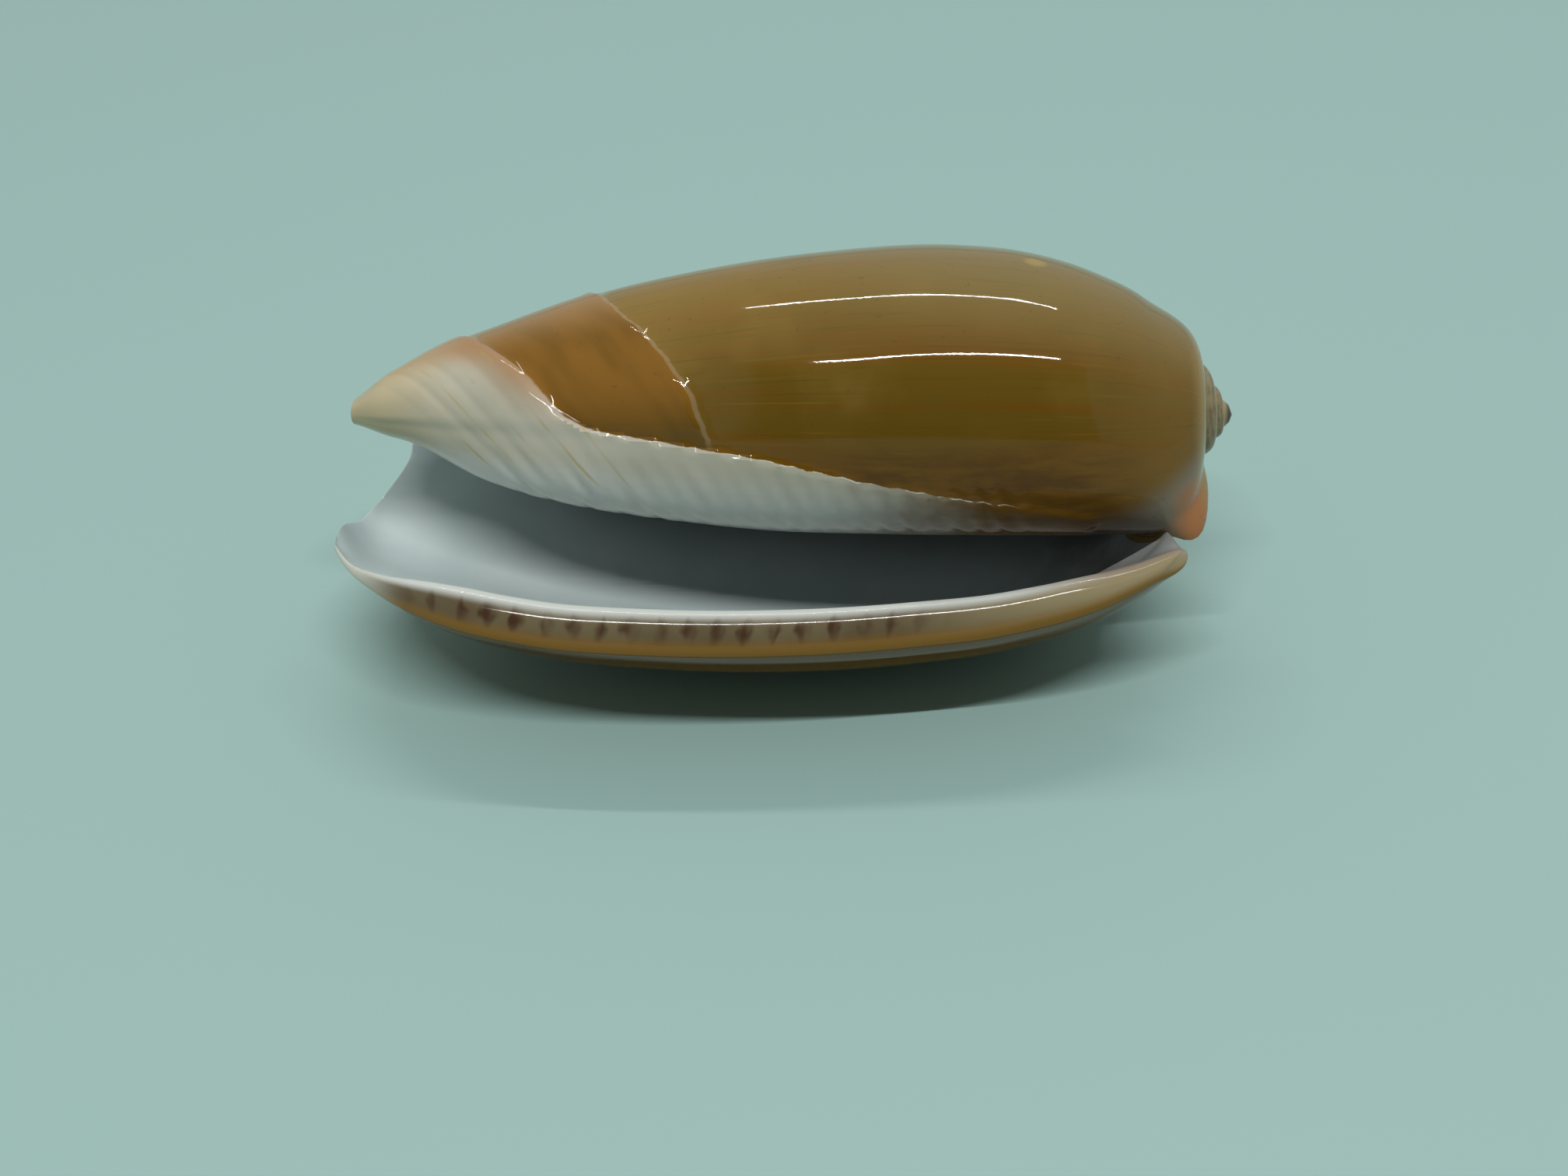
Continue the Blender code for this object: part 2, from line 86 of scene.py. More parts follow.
# Rim beside the suture: radius by turn near the lip, then a steady shrink with each whorl
RIM_RADIUS = [(0, 7.95), (16, 7.0), (24, 6.75), (60, 5.4), (105, 4.15), (160, 3.4), (215, 3.0)]
RIM_DIP = [(0, 0.2), (8, 0.65), (16, 0.95), (28, 1.2), (50, 1.05), (80, 0.5), (130, 0.0)]
WHORL_RATIO = 1.72
RIM_HEIGHT = [(0.3, 44.95), (0.6, 44.7), (1.0, 44.37), (1.75, 43.9), (3.0, 43.25), (3.4, 43.3),
              (4.1, 43.2), (5.5, 42.85), (7.0, 42.6), (8.0, 42.5)]
CHANNEL_DEPTH = [(16, 0.2), (24, 0.35), (40, 0.5), (60, 0.45), (105, 0.28), (215, 0.22)]
CHANNEL_WIDTH = [(16, 0.95), (24, 0.85), (60, 0.45), (105, 0.3), (215, 0.25)]
SHOULDER_X = 40.5
CHANNEL_FLOOR_X = 41.45
SHOULDER_SINKS = (300, 376)
SHOULDER_FULLNESS = 0.4
RIM_LEAN = 0.15
SPIRE_SLOPE = -0.4
SPIRE_TURNS = 1240.0
COLUMELLA_TIP_X = 0.75
COLUMELLA_TIP_ROUND = 0.08
APEX_ROUND = -0.02

# Callus lobe beside the slot at the back of the aperture
LOBE_TURN = 377.0
LOBE_BEFORE = 18.0
LOBE_AFTER = 22.0
LOBE_FORWARD = 0.6
LOBE_OUTWARD = 0.95

# Raised lines on the outside, as (turn, x): the callus edge and the ledge of the front band
CALLUS_EDGE = [(150, 4.6), (200, 5.9), (226, 7.1), (254, 8.6), (271, 10.0), (293, 11.6), (306, 12.8),
               (312, 14.2), (316, 17.0), (320, 20.5), (327, 25.0), (335, 29.8), (342, 33.6), (352, 38.0)]
CALLUS_RISE = 0.30
CALLUS_THIN_RISE = 0.10
CALLUS_THINS = (14, 30)
CALLUS_STARTS = (150, 235)
LEDGE_LINE = [(0, 6.8), (60, 8.3), (105, 9.8), (160, 11.6), (221, 13.6), (245, 14.9), (261, 16.2),
              (278, 17.5), (290, 18.4), (317, 19.5)]
LEDGE_RISE = 0.16
LEDGE_HALF_WIDTH = 0.16
LEDGE_FADES = (305, 318)
LEDGE_STARTS = (4, 40)
LEDGE_CREST = 0.05
PLAIT_SLOPE = 0.065
PLAIT_SPACING = 1.75
PLAIT_HEIGHT = 0.0364
PLAIT_GROOVE_WIDTH = 0.42
PLAIT_TURN = 290.0
PLAITS_START = (235, 262)
PLAITS_FROM = 5.0
PLAITS_TO = 12.6
RELIEF_ENDS = (372, 388)
TIP_PLAIN = (0.8, 3.0)
THREAD_HEIGHT = 0.09
THREAD_WIDTH = 0.16
THREAD_TURNS = (318, 346)
KNOB_HEIGHT = 0.055
KNOB_SPACING = 1.15
KNOB_SLOPE = 0.045
KNOB_TURNS = (332, 362)
KNOB_REACH = (10.5, 33.0)
GROWTH_HEIGHTS = (0.003, 0.0015)
GROWTH_STARTS = (10, 40)
LIP_THREAD_HEIGHT = 0.05
LIP_THREAD_TURNS = (5.0, 9.0)
LIP_THREAD_REACH = (8, 36)

# Mesh fineness, and the sharpest fold that is still shaded as round
TURN_STEP = 2.0
ROWS = 170
ROW_CROWDING = 0.45
SHOULDER_ROWS = 12
EDGE_STEPS = 7
CREASE_ANGLE = 42.0

# Stage, camera and lights; the camera's place is measured from the apex, in metres
FLOOR_SIZE = 3.0
FLOOR_COLOUR = (0.31, 0.465, 0.435)
FLOOR_ROUGHNESS = 0.6
CAMERA_FROM_APEX = Vector((-0.02199, -0.07833, 0.04956))
CAMERA_DOWN = 38.0
CAMERA_ROLL = 1.47
CAMERA_YAW = 1.9
PHOTO_PITCH = 2.9
FOCAL_PX = 2391.0
PHOTO_W = 2016
TUBES = {"tube_behind": ((0.02, 0.325, 0.62), 1.0), "tube_in_front": ((0.035, -0.262, 0.62), 3.0)}
TUBE_SIZE = (0.52, 0.010)
LIT_POINT = Vector((0.0, 0.0, 0.016))
WORLD_BRIGHT = (0.60, 0.655, 0.64)
WORLD_DARK = (0.05, 0.055, 0.06)
WORLD_LEVELS = (0.50, 0.66)

# Edge of the painted shade inside the cavity, where the columella's shadow falls, as (x, turn), and the
# middle of the yellow spot
SHADE_LINE = [(2, 95), (13.9, 68), (22.4, 63), (34.9, 54), (40.3, 45)]
SPOT_X, SPOT_TURN = 35.0, 233.0
MM_PER_DEGREE = 0.14

# Colours of the finish, as linear red, green and blue
BODY_OLIVE = (0.130, 0.075, 0.008)
BODY_BROWN = (0.150, 0.068, 0.006)
BODY_TAN = (0.290, 0.185, 0.045)
BODY_LOW = (0.185, 0.076, 0.003)
BODY_BACK = (0.195, 0.120, 0.028)
# Grey-tan of the upper side: partly the shell's own tone, partly painted sheen
BODY_TOP_TONE_AND_SHEEN = (0.215, 0.165, 0.068)
STREAK_DARK = (0.070, 0.033, 0.003)
STREAK_PALE = (0.270, 0.170, 0.020)
RED_CAST = (0.080, 0.030, 0.002)
YELLOW_SPOT = (0.370, 0.260, 0.060)
BAND_ORANGE = (0.245, 0.112, 0.015)
BAND_STRIPE = (0.115, 0.060, 0.006)
BAND_LOW = (0.100, 0.054, 0.003)
BAND_TOP = (0.370, 0.225, 0.090)
# Pale of the ledge line: partly its own peach tint, partly painted highlight
LEDGE_PALE_AND_GLINT = (0.620, 0.500, 0.340)
LIP_OUTLINE = (0.130, 0.055, 0.006)
LIP_OUTSIDE = (0.220, 0.100, 0.009)
MARGIN_CREAM = (0.620, 0.600, 0.500)
PEACH = (0.380, 0.205, 0.088)
CALLUS_DEEP = (0.460, 0.435, 0.335)
CALLUS_PALE = (0.530, 0.500, 0.405)
CALLUS_LOW = (0.680, 0.690, 0.660)
TIP_CREAM = (0.510, 0.410, 0.210)
PLAIT_YELLOW = (0.420, 0.340, 0.120)
CRUMB_WHITE = (0.740, 0.710, 0.580)
GLAZE_DEEP = (0.120, 0.080, 0.055)
GLAZE_PALE = (0.235, 0.205, 0.160)
LOBE_ORANGE = (0.420, 0.165, 0.055)
SPIRE_PALE = (0.260, 0.210, 0.115)
SPIRE_DEEP = (0.170, 0.130, 0.070)
SPIRE_RIM = (0.360, 0.280, 0.130)
SPIRE_SUTURE = (0.100, 0.070, 0.035)
SPIRE_TIP = (0.050, 0.030, 0.030)
SHOULDER_RIM = (0.360, 0.235, 0.075)
SLOT_GREY = (0.170, 0.140, 0.120)
ENAMEL_DEEP = (0.530, 0.620, 0.610)
ENAMEL_PALE = (0.590, 0.670, 0.660)
ENAMEL_CAST = (0.250, 0.205, 0.195)
ENAMEL_BACK = (0.200, 0.165, 0.150)
ENAMEL_SHADE = (0.032, 0.031, 0.029)
EDGE_DEEP = (0.120, 0.090, 0.048)
EDGE_PALE = (0.160, 0.125, 0.070)
EDGE_BACK = (0.300, 0.245, 0.135)
EDGE_ORANGE = (0.270, 0.130, 0.016)
EDGE_SPOT = (0.050, 0.018, 0.009)
EDGE_FRONT = (0.620, 0.610, 0.520)
RIM_WHITE = (0.580, 0.600, 0.560)
RIM_BACK = (0.330, 0.270, 0.200)
DUST = (0.100, 0.060, 0.030)

# Gloss of the finish
SHELL_IOR = 1.33
ROUGHNESS = 0.03
ROUGHNESS_OF_CLOUDS = 0.02
ROUGHNESS_INSIDE = 0.09
ROUGHNESS_OF_SPIRE = 0.22
RIPPLE_STRENGTH = 0.2
RIPPLE_HEIGHT = 0.00002


def through(points, x):
    """Smooth curve through a few (x, y) points, as cubic spans with finite-difference slopes."""
    px = np.array([p[0] for p in points], dtype=float)
    py = np.array([p[1] for p in points], dtype=float)
    return hermite(px, py[:, None], np.atleast_1d(np.asarray(x, dtype=float)))


def hermite(px, py, x):
    """Cubic through the columns of py at px, read at each x; py has one column, or one for each x."""
    step = np.diff(px)
    rise = np.diff(py, axis=0) / step[:, None]
    slope = np.empty_like(py)
    slope[0] = rise[0]
    slope[-1] = rise[-1]
    weight = step[:-1, None] / (step[:-1, None] + step[1:, None])
    slope[1:-1] = rise[:-1] * (1 - weight) + rise[1:] * weight
    span = np.clip(np.searchsorted(px, x, side="right") - 1, 0, len(px) - 2)
    column = np.zeros(len(x), dtype=int)
    if py.shape[1] > 1:
        column = np.arange(len(x))
    h = step[span]
    s = (x - px[span]) / h
    inside = np.clip(s, 0.0, 1.0)
    y0, y1 = py[span, column], py[span + 1, column]
    m0, m1 = slope[span, column] * h, slope[span + 1, column] * h
    value = ((2 * inside**3 - 3 * inside**2 + 1) * y0 + (inside**3 - 2 * inside**2 + inside) * m0
             + (3 * inside**2 - 2 * inside**3) * y1 + (inside**3 - inside**2) * m1)
    return value + np.where(s < 0, s * m0, 0) + np.where(s > 1, (s - 1) * m1, 0)


def smoothstep(low, high, x):
    s = np.clip((np.asarray(x, dtype=float) - low) / (high - low), 0.0, 1.0)
    return s * s * (3 - 2 * s)


def outer_radius(x, turn):
    """Radius of the coiled surface at x and turn; the log of the radius is smooth along the coil."""
    x = np.atleast_1d(np.asarray(x, dtype=float))
    turn = np.atleast_1d(np.asarray(turn, dtype=float))
    x, turn = np.broadcast_arrays(x, turn)
    lines = [LIP_LINE, BACK_LINE, TOP_LINE, FRONT_LINE, COLUMELLA_LINE, INNER_BACK_LINE, INNER_TOP_LINE]
    logs = np.array([np.log(np.maximum(through(line, x.ravel()), 0.3)) for line in lines])
    value = np.exp(hermite(np.array(LINE_TURNS, dtype=float), logs, turn.ravel())).reshape(x.shape)
    from_margin = np.maximum(x - held(FRONT_MARGIN, turn.ravel()).reshape(x.shape), 0.0)
    curl = held(FRONT_CURL, turn.ravel()).reshape(x.shape)
    return value - curl * np.exp(-from_margin / FRONT_CURL_LENGTH)


def held(points, x):
    """Smooth curve through the points, held level beyond its two ends."""
    return through(points, np.clip(x, points[0][0], points[-1][0]))


def wobble(t, seed):
    """Smooth uneven wave between about -1 and 1, the same on each run."""
    rng = np.random.default_rng(seed)
    t = np.asarray(t, dtype=float)
    total = np.zeros_like(t)
    for k in range(6):
        total += np.sin(t * (1.0 + 0.83 * k) + rng.uniform(0, 2 * math.pi)) / (1.0 + 0.6 * k)
    return total / 2.4


def bump(low, high, soft, x):
    """1 between low and high, falling to 0 over soft on each side."""
    return smoothstep(low - soft, low, x) * (1.0 - smoothstep(high, high + soft, x))


def callus_edge(turn):
    """Place x of the callus edge; ragged where the thin glaze ends on the body, even along the fasciole."""
    ragged = smoothstep(306, 322, turn)
    return held(CALLUS_EDGE, turn) + ragged * (0.35 * wobble(np.asarray(turn) * 1.1, 5)
                                               + 0.2 * wobble(np.asarray(turn) * 3.7, 6))


def ledge_edge(turn):
    """Place x of the front band's ledge, slightly uneven."""
    return held(LEDGE_LINE, turn) + 0.08 * wobble(turn * 0.35, 31)


def plait_phase(x, turn):
    """Place across the slanting plaits, in millimetres."""
    bend = 0.12 * wobble(np.asarray(x) * 0.35, 9)
    return x - PLAIT_SLOPE * (turn - PLAIT_TURN) + bend


def relief(x, turn):
    """Height of the callus, its slanting plaits and the front band's ledge over the plain coil."""
    x = np.asarray(x, dtype=float)
    turn = np.asarray(turn, dtype=float)
    edge = callus_edge(turn)
    rise = CALLUS_RISE + (CALLUS_THIN_RISE - CALLUS_RISE) * smoothstep(*CALLUS_THINS, x)
    inside_callus = 1.0 - smoothstep(edge - 0.35, edge + 0.15, x)
    callus = rise * inside_callus * smoothstep(*CALLUS_STARTS, turn)

    # Thin raised thread where the glaze ends on the body
    thread = np.exp(-((x - edge + 0.1) / THREAD_WIDTH) ** 2) * bump(*THREAD_TURNS, 6, turn)
    thread = thread * THREAD_HEIGHT * (0.75 + 0.5 * wobble(turn * 2.9, 11))

    slant = plait_phase(x, turn)
    on_plaits = bump(PLAITS_FROM - 0.2, PLAITS_TO - 0.8, 0.6, slant)
    phase = np.cos(math.pi * (slant - PLAITS_FROM) / PLAIT_SPACING)
    wave = 1.0 - 2.0 * np.exp(-(phase / PLAIT_GROOVE_WIDTH) ** 2)
    plaits = PLAIT_HEIGHT * wave * on_plaits * inside_callus * smoothstep(*PLAITS_START, turn)

    # Low knobs along the inner edge of the columella, as the ends of fine slanting threads
    knob_phase = x - KNOB_SLOPE * (turn - 350)
    knobs = KNOB_HEIGHT * np.cos(2 * math.pi * knob_phase / KNOB_SPACING + 0.9 * wobble(x * 0.6, 21))
    knobs = knobs * bump(*KNOB_TURNS, 14, turn) * bump(*KNOB_REACH, 3.0, x)
    knobs = knobs * (0.8 + 0.4 * wobble(x * 1.3, 22))

    ledge = ledge_edge(turn)
    band = LEDGE_RISE * (1.0 - smoothstep(ledge - LEDGE_HALF_WIDTH, ledge + LEDGE_HALF_WIDTH, x))
    band = band + LEDGE_CREST * np.exp(-((x - ledge + 0.3) / 0.2) ** 2)
    band = band * (1.0 - smoothstep(*LEDGE_FADES, turn)) * smoothstep(*LEDGE_STARTS, turn)

    # Growth lines follow the lip: long faint ridges along the axis, uneven from turn to turn
    growth = GROWTH_HEIGHTS[0] * wobble(turn * 0.9 + 0.3 * wobble(x * 0.2, 41), 42)
    growth = growth + GROWTH_HEIGHTS[1] * wobble(turn * 2.7 + 0.3 * wobble(x * 0.3, 43), 44)
    growth = growth * smoothstep(*GROWTH_STARTS, turn)
    shown = 1.0 - smoothstep(*RELIEF_ENDS, turn)
    total = callus + thread + plaits + knobs + band + growth
    return total * shown * smoothstep(*TIP_PLAIN, x)


def side_radius(x, turn):
    """Radius of the visible outside of the coil."""
    return outer_radius(x, turn) + relief(x, turn)


def side_slope(x, turn):
    """Change of the coil's radius per millimetre along the axis, just before x."""
    back = 0.3
    return float((outer_radius(x, turn) - outer_radius(x - back, turn))[0]) / back


def rim(turn):
    """Place (x, r) of the rim beside the suture."""
    turn = np.atleast_1d(np.asarray(turn, dtype=float))
    last_turn, last_radius = RIM_RADIUS[-1]
    shrink = WHORL_RATIO ** (-(turn - last_turn) / 360.0)
    radius = np.where(turn < last_turn, held(RIM_RADIUS, turn), last_radius * shrink)
    return through(RIM_HEIGHT, radius) - held(RIM_DIP, turn), radius


def channel_floor(turn):
    """Place (x, r) of the bottom of the suture channel just inside the rim."""
    x, radius = rim(turn)
    small = np.minimum(1.0, radius / RIM_RADIUS[-1][1])
    return x - held(CHANNEL_DEPTH, turn) * small, radius - held(CHANNEL_WIDTH, turn) * small


def roof_x(turn):
    """Height of the cavity's roof, under the channel floor."""
    floor_x = channel_floor(turn)[0]
    return floor_x - np.clip(ROOF_DROP_PER_DEGREE * (np.asarray(turn) - NOTCH_TURN), 0.0, ROOF_DROP)


def lip_recess(x):
    """Turn by which the lip's edge falls back near the front tip."""
    s = np.clip(1.0 - np.asarray(x) / LIP_STRAIGHT_FROM, 0.0, 1.0)
    return LIP_TIP_TURN * (1.0 - np.sqrt(1.0 - s * s))


def row_share(rows):
    """Row places from 0 to 1, closer together towards both ends."""
    t = np.linspace(0.0, 1.0, rows + 1)
    return t - ROW_CROWDING * np.sin(2 * math.pi * t) / (2 * math.pi)


def column(base_turn, start_x, end_x, rows):
    """Places (x, turn) down one column of the coiled surface."""
    x = start_x + (end_x - start_x) * row_share(rows)
    keep = np.clip(1.0 - base_turn / LIP_FOLLOWED_TO_TURN, 0.0, 1.0) ** 2
    return x, base_turn + lip_recess(x) * keep


def front_x(base_turn):
    """Front end of a column, on the free margin or on the tip of the columella."""
    return float(held(FRONT_MARGIN, np.atleast_1d(max(base_turn, LIP_TIP_TURN)))[0])


def wall_thickness(x, turn):
    """Thickness of the outer wall: greatest at the lip's middle, thinner towards both its ends."""
    thick = WALL_INSIDE + (WALL_AT_LIP - WALL_INSIDE) * (1.0 - smoothstep(0, LIP_THICK_TO_TURN, turn))
    at_front = held(FRONT_THINNING, turn)
    thick = thick * (at_front + (1.0 - at_front) * smoothstep(0, FRONT_THIN_LENGTH, x))
    thick = thick * (1.0 - BACK_THINNING * smoothstep(*BACK_THINS, x))
    room = outer_radius(x, turn) - outer_radius(x, turn + 360)
    return 0.5 * room * np.tanh(2 * thick / room)


def inner_radius(x, turn, end_x):
    """Radius of the cavity's outer wall; it closes onto the inner whorl under the roof, and at the lip
    onto the thin back end of the lip.
    """
    core = outer_radius(x, turn + 360)
    lip_end = rim(turn)[1] - LIP_END_THICKNESS
    end_radius = lip_end + (core - lip_end) * smoothstep(0, NOTCH_TURN, turn)
    open_radius = outer_radius(x, turn) - wall_thickness(x, turn)
    near_roof = np.clip((x - end_x) / ROOF_ROUNDING + 1.0, 0.0, 1.0)
    closing = 1.0 - np.sqrt(1.0 - near_roof**2)
    return open_radius + (end_radius - open_radius) * closing


def lobe(turn, s):
    """Outward shift (x, r) of the callus lobe beside the notch, for s from 0 to 1 up the shoulder."""
    width = LOBE_BEFORE if turn < LOBE_TURN else LOBE_AFTER
    across = math.cos(min(abs(turn - LOBE_TURN) / width, 1.0) * math.pi / 2) ** 2
    forward = np.sin(np.clip(s, 0, 1) * math.pi)
    outward = np.sin(np.clip(s * 1.45, 0, 1) * math.pi)
    return LOBE_FORWARD * across * forward, LOBE_OUTWARD * across * outward


def shoulder(turn, start_x, start_r, slope, rows):
    """Places (x, r) from the whorl's side over its shoulder to the rim, along one smooth curve."""
    rim_x, rim_r = (float(v[0]) for v in rim(turn))
    reach = math.hypot(rim_x - start_x, rim_r - start_r) * SHOULDER_FULLNESS
    run = math.hypot(1.0, slope)
    p1 = (start_x + reach / run, start_r + reach * slope / run)
    p2 = (rim_x - reach * RIM_LEAN, rim_r + reach)
    s = np.linspace(0, 1, rows + 1)
    b0, b1, b2, b3 = (1 - s)**3, 3 * s * (1 - s)**2, 3 * s * s * (1 - s), s**3
    x = b0 * start_x + b1 * p1[0] + b2 * p2[0] + b3 * rim_x
    r = b0 * start_r + b1 * p1[1] + b2 * p2[1] + b3 * rim_r
    shift_x, shift_r = lobe(turn, s)
    return x + shift_x, r + shift_r


def place(x, r, turn):
    """Point in the shell's own axes: y is negative towards the front."""
    angle = math.radians(LIP_ANGLE - turn)
    return Vector((x, -r * math.cos(angle), r * math.sin(angle)))


class Surface:
    """Vertices and faces of the shell. The marks of each vertex are its x, its turn, its share of the
    way from the outside to the inside, and its share of the way up the shoulder.
    """

    def __init__(self):
        self.points = []
        self.faces = []
        self.marks = []

    def add(self, point, x, turn, inner=0.0, top=0.0):
        self.points.append(Vector(point))
        self.marks.append((x, turn, inner, top))
        return len(self.points) - 1

    def face(self, *corners):
        ring = [c for i, c in enumerate(corners) if c != corners[i - 1]]
        if len(set(ring)) >= 3:
            self.faces.append(ring)

    def strip(self, left, right):
        for i in range(len(left) - 1):
            self.face(left[i], left[i + 1], right[i + 1], right[i])

    def line(self, x, r, turns, inner=0.0):
        return [self.add(place(a, b, c), a, c, inner) for a, b, c in zip(x, r, turns)]


def build_surface():
    """The whole shell as one closed surface: outer coil, cavity, free edges, spire and both tips."""
    s = Surface()
    per_turn = round(360 / TURN_STEP)
    cavity_end = round(CAVITY_TURN / TURN_STEP)
    notch = round(NOTCH_TURN / TURN_STEP)
    last = round(SPIRE_TURNS / TURN_STEP)
    coil_end = per_turn + cavity_end

    # Side of the coil, then its shoulder, then the spire whorls that start on the channel floor
    side = []
    upper = []
    floors = []
    for j in range(last + 1):
        turn = j * TURN_STEP
        floor_x, floor_r = (float(v[0]) for v in channel_floor(turn))
        if j <= coil_end:
            if j <= per_turn + notch:
                sunk = float(smoothstep(*SHOULDER_SINKS, turn))
                end_x = SHOULDER_X + (CHANNEL_FLOOR_X - SHOULDER_X) * sunk
            else:
                end_x = float(roof_x(turn - 360)[0])
            x, turns = column(turn, front_x(turn), end_x, ROWS)
            r = side_radius(x, turns)
            ids = s.line(x[:-1], r[:-1], turns[:-1])
            if j == per_turn + notch:
                ids.append(floors[notch])
            else:
                ids.append(s.add(place(x[-1], r[-1], turns[-1]), x[-1], turns[-1]))
            side.append(ids)
        if j <= per_turn + notch:
            start = (x[-1], r[-1])
            slope = side_slope(x[-1], turn)
            first = side[j][-1]
        if j >= per_turn + notch:
            start = tuple(float(v[0]) for v in channel_floor(turn - 360))
            slope = SPIRE_SLOPE
            first = floors[j - per_turn]
        px, pr = shoulder(turn, start[0], start[1], slope, SHOULDER_ROWS)
        share = np.linspace(0, 1, SHOULDER_ROWS + 1)
        upper.append([first] + [s.add(place(a, b, turn), a, turn, 0.0, c)
                                for a, b, c in zip(px[1:], pr[1:], share[1:])])
        floors.append(s.add(place(floor_x, floor_r, turn), floor_x, turn, 0.0, 1.0) if j >= notch else None)

    for j in range(coil_end):
        s.strip(side[j], side[j + 1])
    for j in range(last):
        s.strip(upper[j], upper[j + 1])

    # Inside of the outer wall, from the lip to the end of the cavity
    wall = []
    for j in range(cavity_end + 1):
        turn = j * TURN_STEP
        end_x = float(roof_x(turn)[0])
        if j < notch:
            lip_end_x = float(rim(turn)[0][0]) - LIP_END_THICKNESS / 2
            end_x = lip_end_x + (float(channel_floor(turn)[0][0]) - lip_end_x) * j / notch
        x, turns = column(turn, front_x(turn), end_x, ROWS)
        lead = LIP_LEAD * max(0.0, 1.0 - turn / LIP_LEAD_TO_TURN) ** 2
        turns = turns - lead * smoothstep(0, 5, x) * (1 - smoothstep(*LIP_LEAD_FADES, x))
        r = inner_radius(x, turns, end_x) + lip_threads(x, turn)
        ids = s.line(x[:-1], r[:-1], turns[:-1], 1.0)
        if j < notch:
            ids.append(s.add(place(x[-1], r[-1], turns[-1]), x[-1], turns[-1], 1.0))
        else:
            ids.append(side[j + per_turn][-1])
        wall.append(ids)
    for j in range(cavity_end):
        s.strip(wall[j + 1], wall[j])

    # Round turn at the end of the cavity
    turn = CAVITY_TURN
    x, turns = column(turn, front_x(turn), float(roof_x(turn)[0]), ROWS)
    low = outer_radius(x, turns + 360)
    high = inner_radius(x, turns, x[-1])
    bend = [side[coil_end]]
    for step in range(1, EDGE_STEPS):
        a = math.pi * step / EDGE_STEPS
        r = (low + high) / 2 - (high - low) / 2 * math.cos(a)
        ahead = np.degrees((high - low) / 2 * math.sin(a) / r)
        bend.append(s.line(x[:-1], r[:-1], (turns + ahead)[:-1], 1.0) + [side[coil_end][-1]])
    bend.append(wall[cavity_end])
    for near, far in zip(bend, bend[1:]):
        s.strip(near, far)

    # Rounded free edge, along the rim of the spire, down the lip and round the front notch
    pairs = []
    for j in range(last, -1, -1):
        inner = floors[j] if j >= notch else wall[j][-1]
        pairs.append((upper[j][-1], inner, upper[j][-2]))
    for k in range(SHOULDER_ROWS - 1, 0, -1):
        pairs.append((upper[0][k], wall[0][-1], upper[1][k]))
    for k in range(ROWS, -1, -1):
        pairs.append((side[0][k], wall[0][k], side[1][k]))
    for j in range(1, cavity_end + 1):
        pairs.append((side[j][0], wall[j][0], side[j][1]))
    edges = []
    for outer, inner, behind in pairs:
        o, i = s.points[outer], s.points[inner]
        ahead = (o - s.points[behind]).normalized()
        middle, half = (o + i) / 2, (o - i) / 2
        swell = EDGE_SWELL * half.length
        ring = [outer]
        for step in range(1, EDGE_STEPS):
            a = math.pi * step / EDGE_STEPS
            share = step / EDGE_STEPS
            mark = [m * (1 - share) + n * share for m, n in zip(s.marks[outer], s.marks[inner])]
            ring.append(s.add(middle + half * math.cos(a) + ahead * swell * math.sin(a), *mark))
        edges.append(ring + [inner])
    for near, far in zip(edges, edges[1:]):
        s.strip(near, far)

    # Tip of the columella and tip of the spire
    tip = [side[j][0] for j in range(cavity_end, coil_end)] + [ids[0] for ids in bend]
    tip += edges[-1][-2:0:-1]
    cap(s, tip, place(COLUMELLA_TIP_X, 0.0, 0.0), COLUMELLA_TIP_ROUND)
    apex = upper[last] + edges[0][1:-1] + [floors[j] for j in range(last, last - per_turn, -1)]
    cap(s, apex, place(LENGTH, 0.0, 0.0), APEX_ROUND)
    return s


def lip_threads(x, turn):
    """Fine long threads just inside the lip's edge, side by side and parallel to it."""
    across = turn - 2.0 * wobble(np.asarray(x) * 0.12, 51)
    raised, sunk = LIP_THREAD_TURNS
    threads = np.exp(-((across - raised) / 1.3) ** 2) - 0.8 * np.exp(-((across - sunk) / 1.5) ** 2)
    return -LIP_THREAD_HEIGHT * threads * bump(*LIP_THREAD_REACH, 6, x)


def cap(s, ring, centre, lift):
    """Close a ring of vertices on a centre point, with one round step halfway in between."""
    middle = s.add(centre, *s.marks[ring[0]])
    inner = []
    for corner in ring:
        point = s.points[corner].lerp(centre, 0.45)
        point.x = (point.x + centre.x) / 2 + lift
        inner.append(s.add(point, *s.marks[corner]))
    s.strip(ring + ring[:1], inner + inner[:1])
    for i, corner in enumerate(inner):
        s.face(inner[i - 1], corner, middle)


def rest_on_surface(points):
    """Turn the shell to its resting tilt, set its rounded underside on z = 0, and centre it."""
    tilt = np.array(Matrix.Rotation(-math.radians(REST_PITCH), 3, "Y"))
    points = np.array([tuple(p) for p in points]) @ tilt.T
    low, high = points.min(0), points.max(0)
    points = points - [(low[0] + high[0]) / 2, (low[1] + high[1]) / 2, low[2] + REST_FLAT]
    points[:, 2] = (points[:, 2] + np.sqrt(points[:, 2] ** 2 + REST_SOFTNESS**2)) / 2
    points[:, 2] -= points[:, 2].min()
    return points


